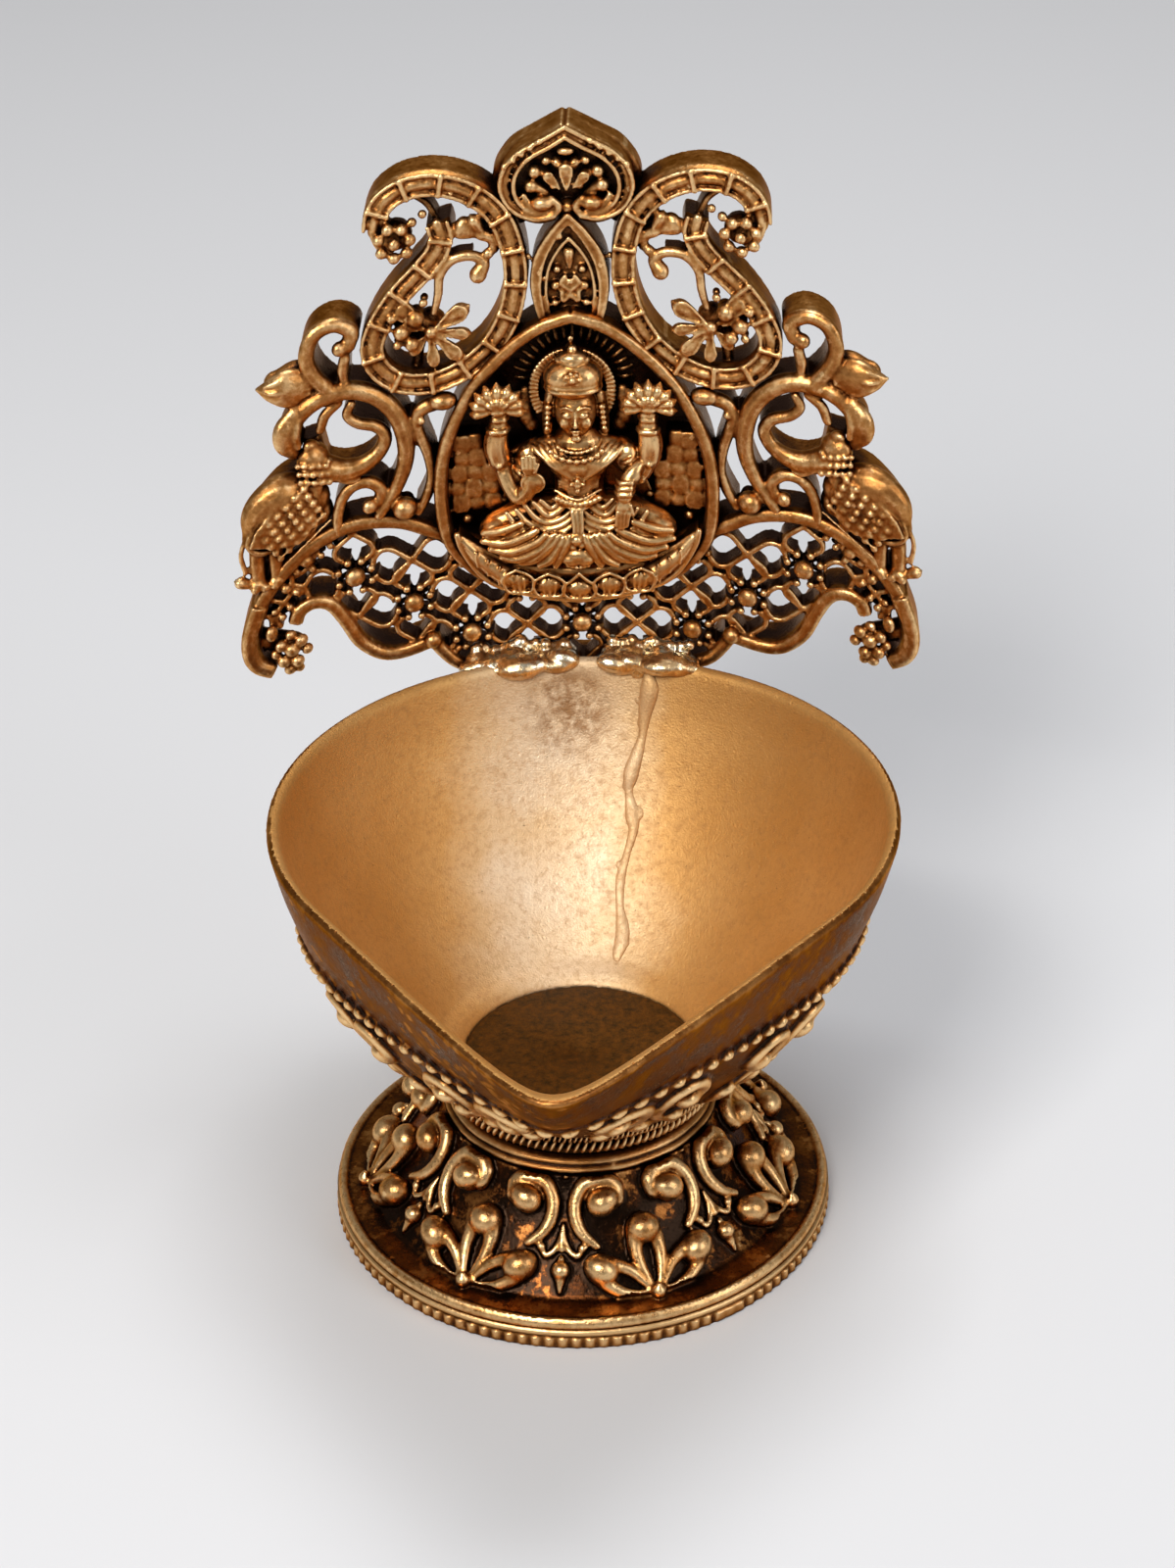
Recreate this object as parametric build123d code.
from build123d import *
import os
from math import acos, cos, pi, sin

# Antique-brass diya oil lamp: a domed foot, a cup with a pouring lip and an openwork back plate.
# Millimetres, +Z up. The origin is the centre of the face that the foot rests on. The lip points
# along -Y, and the back plate stands at +Y and faces the lip.
os.makedirs("parts", exist_ok=True)

# ---- driving dimensions: foot ----
FOOT_RADIUS = 26.0            # brim of the foot
BAND_HEIGHT = 2.2             # milled band under the brim
BAND_THICK = 1.1
BAND_PROUD = 0.3              # how far the milled band stands out from the brim
BRIM_TOP = 3.2                # upper face of the flat brim
BRIM_INNER = 22.4             # where the dome rises from the brim
DOME_TOP = 12.9               # underside of the waist collar
DOME_TOP_RADIUS = 14.4
SHEET = 1.3                   # thickness of the foot's casting
BRIM_EDGE = 0.4               # rounding of the brim's upper edge
NECK_RADIUS = 12.9
NECK_TOP = 14.8

# ---- driving dimensions: waist ----
COLLAR_HEIGHT = 1.7
COLLAR_EDGE = 0.5             # chamfer of the collar's edges
ROPE = 0.8                    # radius of a rope ring's section
LOWER_ROPE = (13.75, 16.4)    # ring radius and height
UPPER_ROPE = (14.7, 18.2)
BASE_RADIUS = 13.1
CUP_FLOOR = 18.0              # the cup's inner floor
FLOOR_RADIUS = 12.2

# ---- driving dimensions: cup ----
CUP_WALL_START = 17.25
RIM_HEIGHT = 46.5
RIM_RADIUS = 32.2
RIM_CENTRE = (0.8, 2.2)       # the round part of the rim sits a little off the foot's axis
LIP_REACH = 50.0              # from the centre of the rim to the tip of the lip
LIP_TURN = 0.034              # radians that the lip points to -X of straight ahead
WALL = 1.4
RIM_FLARE = 0.2               # how much the wall still widens in the millimetre above the rim
OUTLINE_POINTS = 36
SEAM_X = 4.0                  # the bowl's soldered seam
SEAM_BEADS = 18
SEAM_BEAD = 1.5               # radius of the solder run
SEAM_SWELL = 0.3              # how much its beads vary in size
SEAM_SWAY = 0.5               # how far it wanders sideways

# ---- driving dimensions: back plate ----
PLATE_Y = 34.5                # front face of the plate on its centre line
PLATE_CURVE = 78.0            # the wings curl forward on this radius
PLATE_LEAN = 0.8              # degrees that the plate leans to -X
LEAN_HEIGHT = 42.0            # height about which it leans
PLATE_DEPTH = 5.5             # depth of the framing bands
LATTICE_FRONT = 1.6
LATTICE_BACK = 3.6
RIBBON = 2.3                  # width of the ribbon scrolls
SCROLL = 2.2                  # width of the wing scrolls
TENDRIL = 1.8
FRAME_WIDTH = 1.3             # width of the medallion's frame
SOLDER_SPOT = (33.2, 46.3)    # y and height of the solder lumps' centre line
RECESS = 3.5                  # depth of the medallion's backing behind the front face


# ---- foot and waist ----
def ring(outline):
    """Solid of revolution about Z from a closed list of (radius, height) points."""
    face = make_face(Polyline(*outline, close=True))
    return revolve(Rot(X=90) * face, Axis.Z)


def foot_shell():
    outer = Spline((BRIM_INNER, BRIM_TOP), (18.6, 7.2), (15.6, 11.0), (DOME_TOP_RADIUS, DOME_TOP))
    inner_top = DOME_TOP - SHEET
    inner = Spline((NECK_RADIUS - SHEET, inner_top), (16.8, 6.2), (BRIM_INNER - 2 * SHEET, BAND_HEIGHT))
    neck = Polyline(
        (DOME_TOP_RADIUS, DOME_TOP),
        (NECK_RADIUS, DOME_TOP),
        (NECK_RADIUS, NECK_TOP),
        (NECK_RADIUS - SHEET, NECK_TOP),
        (NECK_RADIUS - SHEET, inner_top),
    )
    brim = Polyline(
        (BRIM_INNER - 2 * SHEET, BAND_HEIGHT),
        (FOOT_RADIUS, BAND_HEIGHT),
        (FOOT_RADIUS, BRIM_TOP - BRIM_EDGE),
        (FOOT_RADIUS - BRIM_EDGE, BRIM_TOP),
        (BRIM_INNER, BRIM_TOP),
    )
    face = make_face([outer, neck, inner, brim])
    return revolve(Rot(X=90) * face, Axis.Z)


def milled_band():
    outer = FOOT_RADIUS + BAND_PROUD
    inner = outer - BAND_THICK
    return ring([(inner, 0), (outer, 0), (outer, BAND_HEIGHT), (inner, BAND_HEIGHT)])


def waist_collar():
    top = DOME_TOP + COLLAR_HEIGHT
    edge = COLLAR_EDGE
    return ring([
        (NECK_RADIUS, DOME_TOP),
        (DOME_TOP_RADIUS - edge, DOME_TOP),
        (DOME_TOP_RADIUS, DOME_TOP + edge),
        (DOME_TOP_RADIUS, top - 2 * edge),
        (DOME_TOP_RADIUS - edge, top),
        (NECK_RADIUS, top),
    ])


def rope_ring(size):
    radius, height = size
    return Pos(0, 0, height) * Torus(radius, ROPE)


# ---- cup ----
def cup_section(radius, lip, height):
    """Round outline drawn out to a lip at -Y; lip runs from 0 at the base to 1 at the rim."""
    straight = acos(RIM_RADIUS / LIP_REACH)      # angle from the lip to where its straight side ends
    points = []
    for step in range(OUTLINE_POINTS):
        turn = 2 * pi * step / OUTLINE_POINTS
        stretch = 1 / cos(max(0, straight - abs(turn - pi)))
        turn = turn + LIP_TURN
        reach = radius * (1 + lip * (stretch - 1))
        points.append((lip * RIM_CENTRE[0] + reach * sin(turn), lip * RIM_CENTRE[1] + reach * cos(turn)))
    return Pos(0, 0, height) * make_face(Spline(*points, periodic=True))


# Stations of the bowl's outer face: height, radius and how far the lip is drawn out
BOWL = [
    (CUP_WALL_START, 13.9, 0),
    (24, 20.8, 0.2),
    (32, 26.6, 0.5),
    (40, 30.3, 0.8),
    (RIM_HEIGHT, RIM_RADIUS, 1),
]


def bowl_outer():
    return loft([cup_section(radius, lip, height) for height, radius, lip in BOWL])


def bowl_inner():
    floor = cup_section(FLOOR_RADIUS, 0, CUP_FLOOR)
    walls = [cup_section(radius - WALL, lip, height) for height, radius, lip in BOWL[1:]]
    above = cup_section(RIM_RADIUS - WALL + RIM_FLARE, 1, RIM_HEIGHT + 1)
    return loft([floor, *walls, above])


def cup_base():
    return Pos(0, 0, (NECK_TOP + CUP_FLOOR) / 2) * Cylinder(BASE_RADIUS, CUP_FLOOR - NECK_TOP)


def bowl_at(height):
    """Radius of the bowl's outer face, and the lip's share, at a height between two stations."""
    for (low, low_radius, low_lip), (high, high_radius, high_lip) in zip(BOWL, BOWL[1:]):
        if height <= high:
            share = (height - low) / (high - low)
            return low_radius + share * (high_radius - low_radius), low_lip + share * (high_lip - low_lip)
    return RIM_RADIUS, 1


def seam_solder(cavity):
    """The run of solder that closes the bowl's seam, inside the wall behind the plate."""
    start = CUP_FLOOR + SEAM_BEAD
    rise = (RIM_HEIGHT - SEAM_BEAD - start) / SEAM_BEADS
    run = None
    for step in range(SEAM_BEADS):
        height = start + step * rise
        radius, lip = bowl_at(height)
        size = SEAM_BEAD + SEAM_SWELL * sin(5 * step)
        wall_y = lip * RIM_CENTRE[1] + radius - WALL
        bead = Pos(SEAM_X + SEAM_SWAY * sin(2 * step), wall_y, height) * Sphere(size)
        run = bead if run is None else run + bead
    return run & cavity


# ---- back plate ----
def slab(front, back):
    """The curved layer of the plate between two depths behind its front face."""
    height = 90
    middle = 75                   # of the plate's own height range, 30 to 120
    far = Pos(0, PLATE_Y - PLATE_CURVE + back, middle) * Cylinder(PLATE_CURVE, height)
    near = Pos(0, PLATE_Y - PLATE_CURVE + front, middle) * Cylinder(PLATE_CURVE, height)
    return far - near


def relief(sketch, front, back):
    """Cut a flat outline, drawn as (x, height), out of one layer of the curved plate."""
    prism = extrude(Pos(0, 60, 0) * Rot(X=90) * sketch, 50)
    piece = prism & slab(front, back)
    return Pos(0, 0, LEAN_HEIGHT) * Rot(Y=-PLATE_LEAN) * Pos(0, 0, -LEAN_HEIGHT) * piece


def band(points, width):
    """Flat ribbon of even width along a smooth line."""
    line = Spline(*points)
    steps = 4 * len(points)
    left = []
    right = []
    for step in range(steps + 1):
        spot = line @ (step / steps)
        along = line % (step / steps)
        side = Vector(-along.Y, along.X, 0) * (width / 2)
        left.append(spot + side)
        right.append(spot - side)
    edges = [Spline(*left), Line(left[-1], right[-1]), Spline(*right), Line(left[0], right[0])]
    return make_face(edges)


def disc(x, height, radius):
    return Pos(x, height) * Circle(radius)


def other_side(sketch):
    return mirror(sketch, Plane.YZ)


def both_sides(sketch):
    return sketch + other_side(sketch)


def symmetric_outline(points):
    """Closed outline from its +X half, which runs from the top centre to the bottom centre."""
    half = Spline(*points)
    return make_face([half, mirror(half, Plane.YZ)])


MEDALLION = [(0, 86.3), (3.4, 83.4), (10.9, 77.6), (14.6, 67), (13.9, 61.4), (9.6, 56.2), (0, 53.8)]
MEDALLION_CENTRE = 69.0
SEAT_TOP = 61.0


def medallion_outline(inset=0):
    shrink = 1 - inset / MEDALLION[3][0]
    points = [(x * shrink, MEDALLION_CENTRE + (z - MEDALLION_CENTRE) * shrink) for x, z in MEDALLION]
    return symmetric_outline(points)


def medallion_frame():
    opening = medallion_outline(FRAME_WIDTH)
    frame = relief(medallion_outline() - opening, 0, PLATE_DEPTH)
    backing = relief(opening, RECESS, PLATE_DEPTH)
    return frame + backing


def deity_figure():
    """The seated figure with its halo, in high relief against the backing."""
    halo = disc(0, 77.6, 4.4)
    side = Spline((0, 82), (2.4, 76), (2.6, 71.6), (5.2, 69), (4.8, 65.6), (9.6, 63.4), (9.2, SEAT_TOP))
    body = make_face([side, mirror(side, Plane.YZ), Line((-9.2, SEAT_TOP), (9.2, SEAT_TOP))])
    arms = both_sides(band([(3.6, 69), (6.6, 70.5), (7.4, 76.8)], 1.7) + disc(7.4, 77.3, 1.7))
    hands = both_sides(band([(4.4, 69), (6.2, 66.5), (5, 64)], 1.6))
    opening = medallion_outline(FRAME_WIDTH)
    return relief(halo, RECESS - 1.2, RECESS) + relief((body + arms + hands) & opening, -1.2, RECESS)


def lotus_seat():
    """Boat-shaped seat in front of the frame's lower end, with a level top."""
    side = Spline((12.9, SEAT_TOP), (10.8, 57), (6, 54.4), (0, 53.4))
    seat = make_face([side, mirror(side, Plane.YZ), Line((-12.9, SEAT_TOP), (12.9, SEAT_TOP))])
    return relief(seat, -3.4, 0)


def finial_outline():
    return symmetric_outline([(0, 106.5), (1.9, 105.2), (5.2, 103.4), (6.7, 100.6), (5.4, 97.8), (0, 96.2)])


def finial_crest(neighbours):
    outer = finial_outline() - neighbours
    recess = Pos(0, 100.4) * Ellipse(4.4, 2.6) + both_sides(disc(2, 98.9, 1))
    return relief(outer - recess, 0, PLATE_DEPTH) + relief(recess, 2, PLATE_DEPTH)


def arch_outline():
    return symmetric_outline([(0, 97.1), (2.3, 94.4), (3.9, 90.5), (3.4, 86.8), (0, 84.6)])


RIBBON_LINE = [
    (18.8, 98), (16.3, 100.9), (13, 101), (8.5, 99), (6, 95), (5.5, 91), (6.5, 86), (9.5, 82),
    (14, 79.6), (18, 80.2), (20.4, 84), (18, 88.8), (14.6, 92.4), (13.1, 96.2),
]


def ribbon_outline():
    curl = band(RIBBON_LINE, RIBBON)
    beads = disc(17.3, 95.6, 2.2)
    flower = disc(14.2, 85.2, 5.1)
    bud = disc(13.3, 97, 1.4)
    return curl + beads + flower + bud


def wing_outline():
    top_curl = band([(25, 79.5), (26.8, 83.6), (24.2, 87.4), (21.9, 85.8)], TENDRIL) + disc(22.8, 84.4, 1.3)
    arc = band([(29.2, 77.2), (24.7, 78.9), (20.6, 78.4), (17.9, 74), (18, 70), (21.6, 65.2)], SCROLL)
    leaf = band([(32.4, 81.4), (29, 82), (26.5, 79.8), (25.6, 78.8)], SCROLL)
    bar = band([(13.2, 77.3), (16.3, 75.4), (15.3, 69.4), (17, 64.8)], SCROLL)
    spiral = band([(25.3, 63.6), (24.4, 67.6), (21.8, 68.7), (20.4, 66.6)], TENDRIL)
    balls = disc(18.6, 65.8, 1.5) + disc(29.3, 75.8, 1.9) + disc(13.4, 77.3, 1.6)
    return top_curl + arc + leaf + bar + spiral + balls


def elephant_outline():
    body = make_face(Spline(
        (29.4, 75.2), (33, 73), (34.3, 67), (34.6, 59.6), (31, 58.6),
        (27.4, 60.6), (26.9, 65.5), (25.2, 70.8), (26.2, 74.4), periodic=True))
    trunk = band([(26, 72), (22.6, 70.9), (20.3, 71.9), (20, 74.4), (23.2, 76)], SCROLL)
    return body + trunk


LATTICE_TOP = [
    (0, 58), (14.8, 61.7), (19.8, 63.8), (25.1, 63.3), (29.4, 61.2), (32.7, 57.8), (34.4, 53), (33.4, 48.3),
]
LATTICE_FOOT = [
    (33.4, 48.3), (31.4, 47.8), (30.2, 51.6), (28, 55.3), (25.4, 53.8), (23.3, 49.4), (18, 46.6), (8, 44.8),
    (0, 44.4),
]
LATTICE_HOLE = 1.15


def lattice_outline():
    top = Spline(*LATTICE_TOP)
    foot = Spline(*LATTICE_FOOT)
    return make_face([top, foot, mirror(top, Plane.YZ), mirror(foot, Plane.YZ)])


def lattice_holes():
    """Staggered piercings that follow the crescent's middle line."""
    middle = Spline((0, 49.8), (12.3, 49.4), (18, 53.4), (23.8, 57.4), (29, 57.6))
    holes = disc(0, 49.8, LATTICE_HOLE)
    columns = 10
    for step in range(1, columns + 1):
        spot = middle @ (step / columns)
        along = middle % (step / columns)
        for row in (-1, 1):
            shift = 1.9 * row
            hole = disc(spot.X - along.Y * shift, spot.Y + along.X * shift, LATTICE_HOLE)
            holes = holes + both_sides(hole)
    return holes


def lattice_borders():
    """The raised edges of the crescent, which end in a rolled tail on each side."""
    top = both_sides(band(LATTICE_TOP[1:], TENDRIL))
    foot = both_sides(band(LATTICE_FOOT[3:], TENDRIL))
    tails = both_sides(disc(31.2, 50, 2.2))
    return top + foot + tails


def jali_crescent(neighbours):
    borders = lattice_borders() - neighbours
    pierced = lattice_outline() - neighbours - lattice_holes() - borders
    return relief(pierced, LATTICE_FRONT, LATTICE_BACK) + relief(borders, 0, PLATE_DEPTH)


def plate_solder(centre_x, half_length, radius, bowl):
    """A lump of solder that fills the gap between the rim and the front of the plate."""
    ends = Pos(-half_length, 0, 0) * Sphere(radius) + Pos(half_length, 0, 0) * Sphere(radius)
    lump = Rot(Y=90) * Cylinder(radius, 2 * half_length) + ends
    return Pos(centre_x, SOLDER_SPOT[0], SOLDER_SPOT[1]) * lump - bowl - slab(0, 20)


# ---- pieces ----
outer = bowl_outer()
cavity = bowl_inner()
base = cup_base()
wall = outer - cavity - base

medallion = medallion_outline()
arch = arch_outline() - medallion
ribbon = ribbon_outline() - medallion - arch_outline() - finial_outline()
crescent = lattice_outline() + lattice_borders()
wing = wing_outline() - medallion - ribbon_outline() - crescent
elephant = elephant_outline() - wing_outline() - crescent

pieces = {
    "foot_shell": foot_shell(),
    "foot_milled_band": milled_band(),
    "waist_collar": waist_collar(),
    "lower_rope_ring": rope_ring(LOWER_ROPE) - base,
    "upper_rope_ring": rope_ring(UPPER_ROPE) - outer - base,
    "cup_base": base,
    "cup_wall": wall,
    "cup_seam_solder": seam_solder(cavity),
    "jali_crescent": jali_crescent(medallion),
    "medallion_frame": medallion_frame(),
    "deity_figure": deity_figure(),
    "lotus_seat": lotus_seat(),
    "pointed_arch_panel": relief(arch, 0, PLATE_DEPTH),
    "finial_crest": finial_crest(arch_outline()),
    "ribbon_scroll_left": relief(other_side(ribbon), 0, PLATE_DEPTH),
    "ribbon_scroll_right": relief(ribbon, 0, PLATE_DEPTH),
    "wing_scroll_left": relief(other_side(wing), 0, PLATE_DEPTH),
    "wing_scroll_right": relief(wing, 0, PLATE_DEPTH),
    "elephant_left": relief(other_side(elephant), 0, PLATE_DEPTH),
    "elephant_right": relief(elephant, 0, PLATE_DEPTH),
    "plate_solder_left": plate_solder(-8.2, 4, 2, outer),
    "plate_solder_right": plate_solder(8.6, 2.6, 1.8, outer),
}

for name, piece in pieces.items():
    export_step(piece, f"parts/{name}.step")
